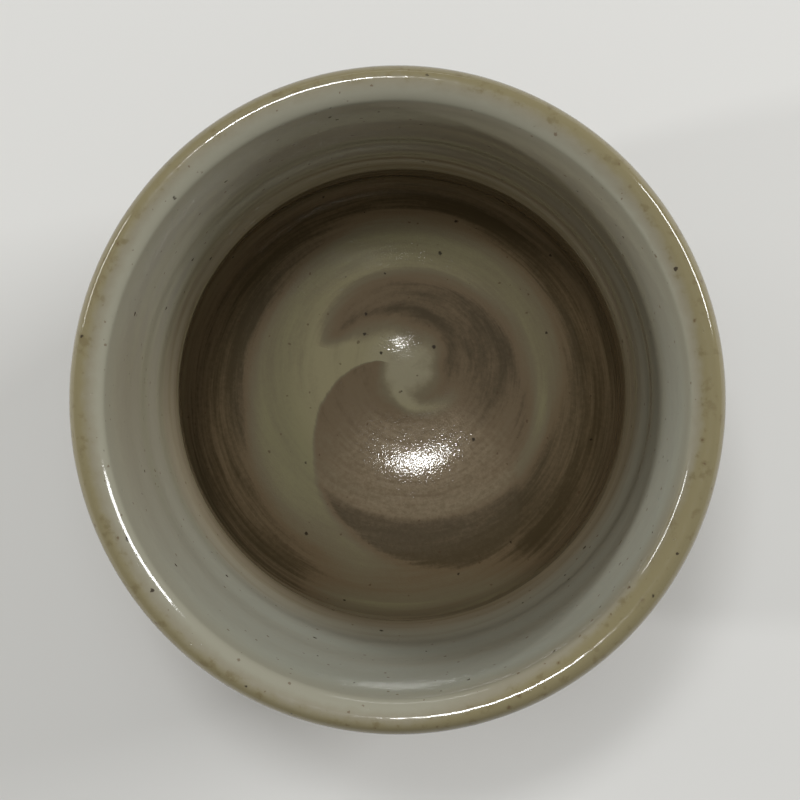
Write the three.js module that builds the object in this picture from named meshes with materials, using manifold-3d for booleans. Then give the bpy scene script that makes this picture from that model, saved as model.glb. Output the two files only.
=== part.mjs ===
// A yunomi, a teacup with no handle, thrown on the wheel in dark stoneware.
// The mouth flares, the waist draws in, the belly swells below it, and a foot ring is trimmed under the floor.
// White slip is brushed round the inside while the cup turns, and leaves a bare swirl on the floor.
// One coat of glaze is poured inside and rolls over the lip, and another covers the outside below it,
// down to a trimmed edge above the foot.
// Millimetres, +Z up. The origin is on the table, under the middle of the foot ring.

import * as THREE from "three";
import { mergeVertices } from "three/addons/utils/BufferGeometryUtils.js";
import Module from "manifold-3d";

// Thrown clay: outside diameters, the heights they are taken at, and the wall at each
const CLAY_HEIGHT = 83.2;
const MOUTH_DIAMETER = 80.8;
const LIP_THICKNESS = 3;
const LIP_LEAN_DEGREES = 14;
const WAIST_DIAMETER = 71.2;
const WAIST_HEIGHT = 48;
const WAIST_WALL = 3.7;
const BELLY_DIAMETER = 75.4;
const BELLY_HEIGHT = 27;
const BELLY_WALL = 4.3;
const FLOOR_THICKNESS = 7;

// Inside, the flare leaves the waist at a lean, which makes a ridge there
const RIDGE_LEAN_DEGREES = 15;

// How the curves between those places are drawn, as shares of the distance between them
const WALL_PULL = 0.45;
const FLARE_PULL = 0.3;
const WAIST_PULL = 0.25;
const WELL_PULL = 0.6;
const FLOOR_SPREAD = 0.54;

// Trimmed foot: the ring, the recess inside it with a small nub, and the cut shoulder outside it
const FOOT_DIAMETER = 46;
const FOOT_HEIGHT = 6;
const FOOT_FLARE = 0.8;
const FOOT_RING_WIDTH = 5;
const FOOT_CHAMFER = 0.7;
const FOOT_RECESS = 5;
const RECESS_FILLET = 1.6;
const NUB_DIAMETER = 9;
const NUB_HEIGHT = 1.4;
const TRIM_WIDTH = 8;
const TRIM_RISE = 3.4;
const HIP_LEAN_DEGREES = 48;

// Coats, and the gap that keeps each one clear of what it lies on
const BOND_GAP = 0.1;
const SLIP_THICKNESS = 0.25;
const INNER_GLAZE_THICKNESS = 0.5;
const OUTER_GLAZE_THICKNESS = 0.5;

// Marks of the throwing hand: a slow spiral of rings on the walls, and in the floor a hump, its eye
// beside the axis, with a shallow groove wound round it
const RING_PITCH = 9;
const RING_RELIEF = 0.14;
const EYE_X = 1.9;
const EYE_Y = 4.9;
const HUMP_HEIGHT = 1.1;
const HUMP_SPREAD = 7.5;
const SWIRL_PITCH = 9.5;
const SWIRL_RELIEF = 0.07;
const SWIRL_REACH = 15;

// The bare swirl in the slip: it starts beside the eye, widens round the floor and thins to a tail
const BARE_START_DEGREES = 167;
const BARE_SWEEP_DEGREES = 352;
const BARE_START_RADIUS = 4.8;
const BARE_TAIL_RADIUS = 14.6;
const BARE_WIDTH = 19;
const BARE_SKEW = 0.6;

// Wheel-thrown clay is never quite true: the waist sits off the axis and the mouth is a little oval
const WAIST_DRIFT = 1.1;
const WAIST_DRIFT_DEGREES = 53;
const MOUTH_OVAL = 0.4;

// Facets: how many go round, and their length along the profile on bare clay and on a glazed face
const FACETS_ROUND = 36;
const CLAY_FACET = 7;
const GLAZE_FACET = 3;
const FEWEST_FACETS = 5;
const SWIRL_POINTS = 36;

const FULL_TURN = 2 * Math.PI;
const radians = THREE.MathUtils.degToRad;
const smoothstep = THREE.MathUtils.smoothstep;

// Places that follow from the sizes above, as radius and height
const mouthRadius = MOUTH_DIAMETER / 2;
const waist = new THREE.Vector2(WAIST_DIAMETER / 2, WAIST_HEIGHT);
const belly = new THREE.Vector2(BELLY_DIAMETER / 2, BELLY_HEIGHT);
const innerWaist = new THREE.Vector2(waist.x - WAIST_WALL, waist.y);
const innerBelly = new THREE.Vector2(belly.x - BELLY_WALL, belly.y);
const floorTop = FOOT_RECESS + FLOOR_THICKNESS;
const footRadius = FOOT_DIAMETER / 2;
const footShoulder = new THREE.Vector2(footRadius + FOOT_FLARE, FOOT_HEIGHT);
const trimEdge = new THREE.Vector2(footShoulder.x + TRIM_WIDTH, footShoulder.y + TRIM_RISE);

// The lip is a half round, leaning out with the wall that it ends
const lipLean = radians(LIP_LEAN_DEGREES);
const lipRadius = LIP_THICKNESS / 2;
const lipCentre = new THREE.Vector2(mouthRadius - lipRadius, CLAY_HEIGHT - lipRadius);
const lipAcross = new THREE.Vector2(Math.cos(lipLean), -Math.sin(lipLean)).multiplyScalar(lipRadius);
const lipUp = new THREE.Vector2(Math.sin(lipLean), Math.cos(lipLean));
const innerLip = lipCentre.clone().sub(lipAcross);
const outerLip = lipCentre.clone().add(lipAcross);

const up = new THREE.Vector2(0, 1);
const down = new THREE.Vector2(0, -1);

// A smooth stretch of wall between two places. It leaves and arrives in given directions,
// and keeps to each for a share of the height between them.
function wallCurve(from, leaving, to, arriving, leavingPull = WALL_PULL, arrivingPull = WALL_PULL) {
  const rise = Math.abs(to.y - from.y);
  return new THREE.CubicBezierCurve(
    from,
    from.clone().addScaledVector(leaving, leavingPull * rise),
    to.clone().addScaledVector(arriving, -arrivingPull * rise),
    to,
  );
}

// The inside, from the middle of the floor up to the lip
function insideWall() {
  const ridgeLean = radians(RIDGE_LEAN_DEGREES);
  const flareUp = new THREE.Vector2(Math.sin(ridgeLean), Math.cos(ridgeLean));
  const well = new THREE.CubicBezierCurve(
    new THREE.Vector2(0, floorTop),
    new THREE.Vector2(FLOOR_SPREAD * innerBelly.x, floorTop),
    new THREE.Vector2(innerBelly.x, innerBelly.y - WELL_PULL * (innerBelly.y - floorTop)),
    innerBelly,
  );
  return [
    well,
    wallCurve(innerBelly, up, innerWaist, up),
    wallCurve(innerWaist, flareUp, innerLip, lipUp, FLARE_PULL, FLARE_PULL),
  ];
}

// Over the lip, from its inner edge to just short of its outer edge, where the next coat starts
function lipRoll() {
  const seamAngle = BOND_GAP / lipRadius;
  const start = Math.PI - lipLean;
  const end = seamAngle - lipLean;
  return new THREE.EllipseCurve(lipCentre.x, lipCentre.y, lipRadius, lipRadius, start, end, true);
}

// The outside, from the outer edge of the lip down to the trimmed edge where the glaze stops
function outside() {
  const hipLean = radians(HIP_LEAN_DEGREES);
  const hipDown = new THREE.Vector2(-Math.sin(hipLean), -Math.cos(hipLean));
  return [
    wallCurve(outerLip, lipUp.clone().negate(), waist, down, FLARE_PULL, WAIST_PULL),
    wallCurve(waist, down, belly, down),
    wallCurve(belly, down, trimEdge, hipDown),
  ];
}

// The underside, from the trimmed edge round the foot ring to the nub in the middle of the recess
function underside() {
  const ringInside = footRadius - FOOT_RING_WIDTH;
  const nubRadius = NUB_DIAMETER / 2;
  const path = new THREE.Path();
  path.moveTo(trimEdge.x, trimEdge.y);
  path.lineTo(footShoulder.x, footShoulder.y);
  path.lineTo(footRadius, FOOT_CHAMFER);
  path.lineTo(footRadius - FOOT_CHAMFER, 0);
  path.lineTo(ringInside + FOOT_CHAMFER, 0);
  path.lineTo(ringInside, FOOT_CHAMFER);
  path.lineTo(ringInside, FOOT_RECESS - RECESS_FILLET);
  path.quadraticCurveTo(ringInside, FOOT_RECESS, ringInside - RECESS_FILLET, FOOT_RECESS);
  path.lineTo(nubRadius, FOOT_RECESS);
  path.quadraticCurveTo(nubRadius / 2, FOOT_RECESS, 0, FOOT_RECESS - NUB_HEIGHT);
  return path.getPoints(FEWEST_FACETS).slice(1);
}

// Points along a run of curves, each with the normal that points away from the clay.
// On the axis the clay lies level, so there the normal is straight up.
function sample(curves, facet) {
  return curves.flatMap((curve, index) => {
    const count = Math.max(FEWEST_FACETS, Math.round(curve.getLength() / facet));
    const first = index === 0 ? 0 : 1;
    return Array.from({ length: count + 1 - first }, (_, step) => {
      const share = (step + first) / count;
      const point = curve.getPoint(share);
      const along = curve.getTangent(share);
      const normal = point.x > 0 ? new THREE.Vector2(-along.y, along.x) : up;
      return { point, normal, curve, share };
    });
  });
}

function lifted(place, distance) {
  return place.point.clone().addScaledVector(place.normal, distance);
}

// A profile turned round the Z axis. The runs below start inside the cup, and faces point outwards
// when the profile climbs its outer side, so it is turned end for end.
function revolve(profile) {
  return new THREE.LatheGeometry(profile.toReversed(), FACETS_ROUND).rotateX(Math.PI / 2);
}

// A coat between two distances from the clay. Its back follows the clay's own facets,
// and its face is finer and stands higher or lower by the relief at each place.
function coat(backPlaces, backLift, facePlaces, thickness, relief) {
  const back = backPlaces.map((place) => lifted(place, backLift(place)));
  const face = facePlaces.map((place) => lifted(place, backLift(place) + thickness));
  const profile = [...face, ...back.reverse()];
  if (face[0].x > 0) profile.push(face[0]);
  const geometry = revolve(profile);
  const position = geometry.getAttribute("position");
  const vertex = new THREE.Vector3();
  const away = new THREE.Vector3();
  for (let ring = 0; ring <= FACETS_ROUND; ring++) {
    const turn = (FULL_TURN * ring) / FACETS_ROUND - Math.PI / 2;
    facePlaces.forEach(({ normal }, step) => {
      const index = (ring + 1) * profile.length - 1 - step;
      away.set(normal.x * Math.cos(turn), normal.x * Math.sin(turn), normal.y);
      vertex.fromBufferAttribute(position, index).addScaledVector(away, relief(vertex, turn));
      position.setXYZ(index, vertex.x, vertex.y, vertex.z);
    });
  }
  return geometry;
}

// Rings left by the fingers as they rise: one slow spiral, fading out before the lip
function ringRelief(place, turn) {
  const fade = smoothstep(CLAY_HEIGHT - place.z, LIP_THICKNESS, CLAY_HEIGHT - WAIST_HEIGHT);
  return RING_RELIEF * fade * Math.cos((FULL_TURN * place.z) / RING_PITCH - turn);
}

// The groove wound round the eye in the floor, giving way to the rings as the wall rises
function insideRelief(place, turn) {
  const wall = smoothstep(place.z, floorTop, BELLY_HEIGHT);
  const distance = Math.hypot(place.x - EYE_X, place.y - EYE_Y);
  const bearing = Math.atan2(place.y - EYE_Y, place.x - EYE_X);
  const wave = Math.cos((FULL_TURN * distance) / SWIRL_PITCH - bearing);
  const fade = smoothstep(distance, 0, SWIRL_PITCH) * Math.exp(-((distance / SWIRL_REACH) ** 2));
  return (1 - wall) * SWIRL_RELIEF * fade * wave + wall * ringRelief(place, turn);
}

// The hump in the floor, which only what lies above the middle of the floor's thickness follows
function humpLift(x, y, height) {
  if (height < FOOT_RECESS + FLOOR_THICKNESS / 2) return 0;
  return HUMP_HEIGHT * (1 - smoothstep(Math.hypot(x - EYE_X, y - EYE_Y), 0, HUMP_SPREAD));
}

// The same hump and small errors of the wheel for every piece, so that the coats still follow the clay
function settle(geometry) {
  const position = geometry.getAttribute("position");
  const bearing = radians(WAIST_DRIFT_DEGREES);
  const vertex = new THREE.Vector3();
  for (let index = 0; index < position.count; index++) {
    const { x, y, z } = vertex.fromBufferAttribute(position, index);
    const share = THREE.MathUtils.clamp((z - floorTop) / (CLAY_HEIGHT - floorTop), 0, 1);
    const drift = WAIST_DRIFT * Math.sin(Math.PI * share) ** 2;
    const oval = (MOUTH_OVAL / mouthRadius) * (z / CLAY_HEIGHT) ** 2;
    position.setXYZ(
      index,
      x * (1 - oval) + drift * Math.cos(bearing),
      y * (1 + oval) + drift * Math.sin(bearing),
      z + humpLift(x, y, z),
    );
  }
  return geometry;
}

const wasm = await Module();
wasm.setup();

function toSolid(geometry) {
  const bare = geometry.clone();
  bare.deleteAttribute("normal");
  bare.deleteAttribute("uv");
  const merged = mergeVertices(bare, 1e-3);
  return new wasm.Manifold(
    new wasm.Mesh({
      numProp: 3,
      vertProperties: new Float32Array(merged.attributes.position.array),
      triVerts: new Uint32Array(merged.index.array),
    }),
  );
}

function toGeometry(solid) {
  const mesh = solid.getMesh();
  return new THREE.BufferGeometry()
    .setAttribute("position", new THREE.BufferAttribute(mesh.vertProperties, 3))
    .setIndex(new THREE.BufferAttribute(mesh.triVerts, 1));
}

// The outline of the bare swirl, seen from above, as an upright block through the floor
function bareSwirl() {
  const edge = (share, width) => {
    const bearing = radians(BARE_START_DEGREES + BARE_SWEEP_DEGREES * share);
    const radius = THREE.MathUtils.lerp(BARE_START_RADIUS, BARE_TAIL_RADIUS, share) + width;
    return new THREE.Vector2(EYE_X + radius * Math.cos(bearing), EYE_Y + radius * Math.sin(bearing));
  };
  const shares = Array.from({ length: SWIRL_POINTS + 1 }, (_, step) => step / SWIRL_POINTS);
  const outer = shares.map((share) => edge(share, BARE_WIDTH * Math.sin(Math.PI * share ** BARE_SKEW)));
  const inner = shares.slice(1, -1).map((share) => edge(share, 0));
  const shape = new THREE.Shape([...outer, ...inner.reverse()]);
  const block = new THREE.ExtrudeGeometry(shape, { depth: BELLY_HEIGHT - FOOT_RECESS, bevelEnabled: false });
  return block.translate(0, 0, FOOT_RECESS);
}

// The runs of wall that the clay and its coats share
const wall = insideWall();
const lip = lipRoll();
const liner = [...wall, lip];
const jacket = outside();
const wallOnClay = sample(wall, CLAY_FACET);
const linerOnClay = sample(liner, CLAY_FACET);
const jacketOnClay = sample(jacket, CLAY_FACET);

function clayBody() {
  const places = [...linerOnClay, ...jacketOnClay].map((place) => place.point);
  return settle(revolve([...places, ...underside()]));
}

function whiteSlip() {
  const shell = settle(coat(wallOnClay, () => BOND_GAP, wallOnClay, SLIP_THICKNESS, () => 0));
  return toGeometry(toSolid(shell).subtract(toSolid(bareSwirl())));
}

// The poured glaze lies on the slip, and comes down to the bare clay as it rolls over the lip
function innerGlaze() {
  const overSlip = BOND_GAP + SLIP_THICKNESS;
  const lift = (place) => BOND_GAP + overSlip * (place.curve === lip ? 1 - place.share : 1);
  return settle(coat(linerOnClay, lift, sample(liner, GLAZE_FACET), INNER_GLAZE_THICKNESS, insideRelief));
}

function outerGlaze() {
  const face = sample(jacket, GLAZE_FACET);
  return settle(coat(jacketOnClay, () => BOND_GAP, face, OUTER_GLAZE_THICKNESS, ringRelief));
}

function piece(name, geometry, color, roughness) {
  const material = new THREE.MeshStandardMaterial({ color, roughness, metalness: 0 });
  geometry.computeVertexNormals();
  const mesh = new THREE.Mesh(geometry, material);
  mesh.name = name;
  return mesh;
}

const yunomi = new THREE.Group();
yunomi.name = "yunomi";
yunomi.add(piece("clay_body", clayBody(), 0x6b5240, 0.85));
yunomi.add(piece("white_slip", whiteSlip(), 0xcfc9b4, 0.7));
yunomi.add(piece("inner_glaze", innerGlaze(), 0x8b8872, 0.2));
yunomi.add(piece("outer_glaze", outerGlaze(), 0x7d7356, 0.25));

export default yunomi;
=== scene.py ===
# %% [markdown]
# # A wheel-thrown yunomi
#
# A yunomi is a Japanese teacup without a handle. This one is stoneware: thrown on a wheel, brushed
# inside with white slip, glazed, and left bare at its foot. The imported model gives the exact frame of
# the cup. Here each coat becomes a fine mesh with its own finish, and the light and the camera are set.

# %% Load the frame
import math

import bpy
import numpy as np
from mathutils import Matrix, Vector
from mathutils.geometry import interpolate_bezier
from mathutils.kdtree import KDTree


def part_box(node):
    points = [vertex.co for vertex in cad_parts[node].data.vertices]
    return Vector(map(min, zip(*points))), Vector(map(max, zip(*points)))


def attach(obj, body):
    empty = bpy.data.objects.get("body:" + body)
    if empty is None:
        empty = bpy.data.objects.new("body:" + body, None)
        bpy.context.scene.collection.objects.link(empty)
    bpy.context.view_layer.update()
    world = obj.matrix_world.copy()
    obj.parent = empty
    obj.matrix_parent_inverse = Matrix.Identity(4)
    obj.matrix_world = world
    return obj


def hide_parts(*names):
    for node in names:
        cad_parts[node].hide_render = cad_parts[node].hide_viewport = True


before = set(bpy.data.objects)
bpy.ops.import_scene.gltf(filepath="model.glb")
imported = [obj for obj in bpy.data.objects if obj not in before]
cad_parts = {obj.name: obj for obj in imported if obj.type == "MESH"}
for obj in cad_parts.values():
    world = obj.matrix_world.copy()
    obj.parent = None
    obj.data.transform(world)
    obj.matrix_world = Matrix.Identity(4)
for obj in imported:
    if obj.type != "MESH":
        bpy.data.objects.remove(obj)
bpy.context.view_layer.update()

# %% [markdown]
# ## The camera
#
# The picture looks straight down into the mouth. A camera with no turn already looks along -Z with +Y at
# the top of its frame, so it only has to be placed. A long lens held about a hand's length over the rim
# sets how much the deep floor shrinks against the mouth.

# %% Camera over the mouth
MM = 0.001
EYE_HEIGHT = 384 * MM
EYE_ASIDE = 0.31 * MM
LENS = 110
NEAREST_SEEN = 10 * MM

bpy.ops.object.select_all(action="DESELECT")
bpy.ops.object.camera_add(location=(EYE_ASIDE, 0, EYE_HEIGHT), rotation=(0, 0, 0))
camera = bpy.context.object
camera.name = "camera_over_mouth"
camera.data.lens = LENS
camera.data.clip_start = NEAREST_SEEN
bpy.context.scene.camera = camera
bpy.context.scene.view_settings.view_transform = "Standard"
print("camera", round(EYE_HEIGHT / MM), "mm above the table")

# %% [markdown]
# ## The table and the lamps
#
# Glossy glaze is only as good as what it reflects. A narrow strip high behind the cup puts the bright
# patches on the floor of the bowl, a softbox low at each side draws a fine line of light along the lip,
# and a dim strip low behind adds a sheen to the far lip. A wide, cooler softbox overhead lights the deep
# floor, and a small lamp low at the left lights the far wall and gives the shadow of the rim its sharp
# edge. These two are kept out of the reflections, because the others already draw the lines. A dim, warm
# world fills the shadows.

# %% Table
TABLE_SIZE = 3
TABLE_GREY = (0.62, 0.62, 0.61, 1)
TABLE_ROUGHNESS = 0.7

bpy.ops.mesh.primitive_plane_add(size=TABLE_SIZE)
table = bpy.context.object
table.name = "table"
paint = bpy.data.materials.new("table_paint")
paint.use_nodes = True
painted = paint.node_tree.nodes["Principled BSDF"].inputs
painted["Base Color"].default_value = TABLE_GREY
painted["Roughness"].default_value = TABLE_ROUGHNESS
table.data.materials.append(paint)
print("table", TABLE_SIZE, "m")

# %% Lamps
CUP_MIDDLE = Vector((0, 0, 60 * MM))
LAMP_REACH = 0.9
COOL_LIGHT = (0.88, 0.95, 1)
ROOM_TINT = (1, 0.94, 0.84, 1)
ROOM_STRENGTH = 0.29
# Name, bearing and climb in degrees, width and height in metres, watts
LAMPS = [
    ("strip_above", 110, 76.3, 0.12, 0.065, 1.9),
    ("softbox_right", 27, 28, 0.38, 0.16, 5.1),
    ("softbox_left", 157, 13, 0.3, 0.05, 1.4),
    ("strip_behind", 92, 12, 0.5, 0.03, 0.3),
    ("softbox_overhead", 100, 82, 0.25, 0.25, 1.7),
    ("lamp_left", 185, 14, 0.07, 0.04, 2.9),
]
UNREFLECTED = ("softbox_overhead", "lamp_left")


def softbox(name, bearing, climb, width, height, watts):
    """Adds an area lamp at a bearing and climb, turned to face the cup."""
    around, above = math.radians(bearing), math.radians(climb)
    level = math.cos(above)
    aim = Vector((math.cos(around) * level, math.sin(around) * level, math.sin(above)))
    bpy.ops.object.light_add(type="AREA", location=CUP_MIDDLE + aim * LAMP_REACH)
    lamp = bpy.context.object
    lamp.name = name
    lamp.rotation_euler = aim.to_track_quat("Z", "Y").to_euler()
    lamp.data.shape = "RECTANGLE"
    lamp.data.size = width
    lamp.data.size_y = height
    lamp.data.energy = watts
    print(name, "at", [round(value, 2) for value in lamp.location])
    return lamp


lamps = {row[0]: softbox(*row) for row in LAMPS}
lamps["softbox_overhead"].data.color = COOL_LIGHT
for name in UNREFLECTED:
    lamps[name].visible_glossy = False

world = bpy.data.worlds.new("room")
bpy.context.scene.world = world
world.use_nodes = True
fill = world.node_tree.nodes["Background"].inputs
fill["Color"].default_value = ROOM_TINT
fill["Strength"].default_value = ROOM_STRENGTH

# %% [markdown]
# ## The thrown wall
#
# Every coat of the cup follows the same wall, so its sizes are written once, in millimetres, as the
# radius and height of the places that the potter's hands set: lip, waist, belly, floor and foot.
# Smooth curves join them, and inside a ridge is left where the flare starts at a lean over the waist.
# A coat is then the wall moved out by the thickness of what lies under it.

# %% Sizes of the wall
CLAY_HEIGHT = 83.2
MOUTH_RADIUS = 40.4
LIP_RADIUS = 1.5
LIP_LEAN = math.radians(14)
LIP_CREST_SHIFT = 0.45
LIP_SLOPE_PULLS = (0.35, 0.9)
LIP_EDGE_PULLS = (0.62, 0.55)
WAIST = Vector((35.6, 48))
WAIST_WALL = 3.7
BELLY = Vector((37.7, 27))
BELLY_WALL = 4.3
FLOOR_TOP = 12
FLOOR_MIDDLE = 8.5
RIDGE_LEAN = math.radians(15)
WALL_PULL = 0.45
FLARE_PULL = 0.3
WAIST_PULL = 0.25
WELL_PULL = 0.6
FLOOR_SPREAD = 0.54
TRIM_EDGE = Vector((31.8, 9.4))
HIP_LEAN = math.radians(48)

UP = Vector((0, 1))
DOWN = Vector((0, -1))
INNER_WAIST = WAIST - Vector((WAIST_WALL, 0))
INNER_BELLY = BELLY - Vector((BELLY_WALL, 0))
LIP_CENTRE = Vector((MOUTH_RADIUS - LIP_RADIUS, CLAY_HEIGHT - LIP_RADIUS))
LIP_ACROSS = Vector((math.cos(LIP_LEAN), -math.sin(LIP_LEAN))) * LIP_RADIUS
LIP_UP = Vector((math.sin(LIP_LEAN), math.cos(LIP_LEAN)))
FLARE_UP = Vector((math.sin(RIDGE_LEAN), math.cos(RIDGE_LEAN)))
INNER_LIP = LIP_CENTRE - LIP_ACROSS
OUTER_LIP = LIP_CENTRE + LIP_ACROSS
LIP_CREST = Vector((LIP_CENTRE.x + LIP_CREST_SHIFT, CLAY_HEIGHT))

clay_low, clay_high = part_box("clay_body")
clay_width = clay_high.x - clay_low.x
print("clay is", round(clay_high.z / MM, 1), "mm tall and", round(clay_width / MM, 1), "mm wide")


# %% Curves of the wall
def curve_points(start, start_handle, end_handle, end, count):
    """Places along one cubic curve, as rows of radius and height."""
    places = interpolate_bezier(start, start_handle, end_handle, end, count)
    return np.array([(place.x, place.y) for place in places])


def wall_points(start, leaving, end, arriving, count, pulls=(WALL_PULL, WALL_PULL)):
    """A stretch of wall that keeps to the direction at each end for a share of its height."""
    leave, arrive = (pull * abs(end.y - start.y) for pull in pulls)
    return curve_points(start, start + leaving * leave, end - arriving * arrive, end, count)


def joined(*runs):
    """One run of places from several, each starting where the one before it ends."""
    return np.vstack([runs[0]] + [run[1:] for run in runs[1:]])


def lip_points(count):
    """Over the lip: a broad slope up from its inner edge, and a tight turn down to its outer edge."""
    leave_wall, reach_crest = LIP_SLOPE_PULLS
    leave_crest, reach_edge = LIP_EDGE_PULLS
    slope = (INNER_LIP + LIP_UP * leave_wall, LIP_CREST - Vector((reach_crest, 0)))
    edge = (LIP_CREST + Vector((leave_crest, 0)), OUTER_LIP + LIP_UP * reach_edge)
    half = count // 2
    return joined(
        curve_points(INNER_LIP, *slope, LIP_CREST, half),
        curve_points(LIP_CREST, *edge, OUTER_LIP, count + 1 - half),
    )


def inside_points(well, lower, upper):
    """The inside of the clay, from the middle of the floor up to the lip."""
    spread = Vector((FLOOR_SPREAD * INNER_BELLY.x, FLOOR_TOP))
    rise = Vector((INNER_BELLY.x, INNER_BELLY.y - WELL_PULL * (INNER_BELLY.y - FLOOR_TOP)))
    return joined(
        curve_points(Vector((0, FLOOR_TOP)), spread, rise, INNER_BELLY, well),
        wall_points(INNER_BELLY, UP, INNER_WAIST, UP, lower),
        wall_points(INNER_WAIST, FLARE_UP, INNER_LIP, LIP_UP, upper, (FLARE_PULL, FLARE_PULL)),
    )


def outside_points(upper, middle, lower):
    """The outside of the clay, from the lip down to the trimmed edge."""
    hip_down = Vector((-math.sin(HIP_LEAN), -math.cos(HIP_LEAN)))
    return joined(
        wall_points(OUTER_LIP, -LIP_UP, WAIST, DOWN, upper, (FLARE_PULL, WAIST_PULL)),
        wall_points(WAIST, DOWN, BELLY, DOWN, middle),
        wall_points(BELLY, DOWN, TRIM_EDGE, hip_down, lower),
    )


def normals_of(run):
    """The direction away from the clay at each place; on the axis the clay lies level."""
    along = np.gradient(run, axis=0)
    away = np.column_stack((-along[:, 1], along[:, 0]))
    away /= np.linalg.norm(away, axis=1)[:, None]
    away[run[:, 0] < 1e-6] = (0, 1)
    return away


def way_along(run):
    """How far along the run each place lies."""
    return np.append(0, np.cumsum(np.linalg.norm(np.diff(run, axis=0), axis=1)))


def lifted(run, distance):
    """The run moved away from the clay, by one distance or by one for each place."""
    return run + normals_of(run) * np.broadcast_to(distance, len(run))[:, None]


print("the lip lies between radius", round(INNER_LIP.x, 1), "and", round(OUTER_LIP.x, 1), "mm")

# %% [markdown]
# ## Turning a profile
#
# A thrown pot is a profile turned about its axis. The Spin tool and the Screw modifier both do what the
# wheel does; Screw is far quicker with this many steps. One vertex is extruded from place to place to
# draw the profile, the modifier turns it once round, and the doubles at the seam and on the axis are
# merged before the normals are made to agree. Shading is smooth except over sharp corners.

# %% Turn a profile on the wheel
TURN_STEPS = 240
MERGE = 0.001 * MM
SHARP_CORNER = math.radians(40)


def turned(name, profile):
    """A mesh made by turning a profile, given in millimetres, once round the Z axis."""
    bpy.ops.object.select_all(action="DESELECT")
    bpy.ops.mesh.primitive_plane_add(size=MM)
    pot = bpy.context.object
    pot.name = name
    pot.data.name = name
    bpy.ops.object.mode_set(mode="EDIT")
    bpy.ops.mesh.select_all(action="SELECT")
    bpy.ops.mesh.merge(type="CENTER")
    bpy.ops.transform.translate(value=(profile[0][0] * MM, 0, profile[0][1] * MM))
    for radius_step, height_step in np.diff(profile, axis=0) * MM:
        bpy.ops.mesh.extrude_vertices_move(TRANSFORM_OT_translate={"value": (radius_step, 0, height_step)})
    bpy.ops.object.mode_set(mode="OBJECT")
    wheel = pot.modifiers.new("wheel", "SCREW")
    wheel.axis = "Z"
    wheel.angle = math.tau
    wheel.steps = TURN_STEPS
    wheel.render_steps = TURN_STEPS
    bpy.ops.object.modifier_apply(modifier=wheel.name)
    bpy.ops.object.mode_set(mode="EDIT")
    bpy.ops.mesh.select_all(action="SELECT")
    bpy.ops.mesh.remove_doubles(threshold=MERGE)
    bpy.ops.mesh.normals_make_consistent(inside=False)
    bpy.ops.object.mode_set(mode="OBJECT")
    bpy.ops.object.shade_smooth_by_angle(angle=SHARP_CORNER)
    print(name, "turned:", len(pot.data.vertices), "vertices,", len(pot.data.polygons), "faces")
    return pot


# %% [markdown]
# ## The marks of the hand
#
# Fingers leave a slow spiral of rings in the wall and a wound hump in the floor, and clay that is lifted
# off the wheel is never quite true: the waist drifts to one side and the mouth turns a little oval. These
# are small moves of every vertex, so they are made with number arrays and not with a texture, and they
# are the same for every coat.

# %% Rings, hump and drift
RING_PITCH = 9
RING_RELIEF = 0.14
SWIRL_EYE = np.array((1.9, 4.9))
HUMP_CENTRE = np.array((1.15, 4.85))
HUMP_HEIGHT = 0.77
HUMP_SPREAD = 7.3
TROUGH_RADIUS = 14.3
TROUGH_WIDTH = 4.6
TROUGH_DEPTH = 0.22
SWIRL_PITCH = 9.5
SWIRL_RELIEF = 0.08
SWIRL_REACH = 7.4
WAIST_DRIFT = 1.1
DRIFT_BEARING = math.radians(53)
MOUTH_OVAL = 0.4


def ease(value, low, high):
    """Smoothly from 0 to 1 as the value goes from low to high."""
    share = np.clip((value - low) / (high - low), 0, 1)
    return share * share * (3 - 2 * share)


def ring_relief(places):
    """Height of the throwing rings, fading out before the lip."""
    fade = ease(CLAY_HEIGHT - places[:, 2], 2 * LIP_RADIUS, CLAY_HEIGHT - WAIST.y)
    turn = np.arctan2(places[:, 1], places[:, 0])
    return RING_RELIEF * fade * np.cos(math.tau * places[:, 2] / RING_PITCH - turn)


def floor_relief(places):
    """Height of the trough and the wound groove round the eye, giving way to the rings up the wall."""
    wall = ease(places[:, 2], FLOOR_TOP, BELLY.y)
    from_eye = places[:, :2] - SWIRL_EYE
    distance = np.hypot(from_eye[:, 0], from_eye[:, 1])
    bearing = np.arctan2(from_eye[:, 1], from_eye[:, 0])
    wave = np.cos(math.tau * distance / SWIRL_PITCH - bearing) * ease(distance, 0, SWIRL_PITCH)
    wound = SWIRL_RELIEF * np.exp(-((distance / SWIRL_REACH) ** 2)) * wave
    trough = TROUGH_DEPTH * np.exp(-(((distance - TROUGH_RADIUS) / TROUGH_WIDTH) ** 2))
    return (1 - wall) * (wound - trough) + wall * ring_relief(places)


def hump_lift(places):
    """How far the hump raises what lies above the middle of the floor's thickness."""
    distance = np.hypot(places[:, 0] - HUMP_CENTRE[0], places[:, 1] - HUMP_CENTRE[1])
    return HUMP_HEIGHT * (1 - ease(distance, 0, HUMP_SPREAD)) * (places[:, 2] > FLOOR_MIDDLE)


def drifted(places):
    """The same hump and small errors of the wheel for every coat."""
    share = np.clip((places[:, 2] - FLOOR_TOP) / (CLAY_HEIGHT - FLOOR_TOP), 0, 1)
    drift = WAIST_DRIFT * np.sin(math.pi * share) ** 2
    oval = MOUTH_OVAL / MOUTH_RADIUS * (places[:, 2] / CLAY_HEIGHT) ** 2
    moved = places.copy()
    moved[:, 0] = places[:, 0] * (1 - oval) + drift * math.cos(DRIFT_BEARING)
    moved[:, 1] = places[:, 1] * (1 + oval) + drift * math.sin(DRIFT_BEARING)
    moved[:, 2] = places[:, 2] + hump_lift(places)
    return moved


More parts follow.
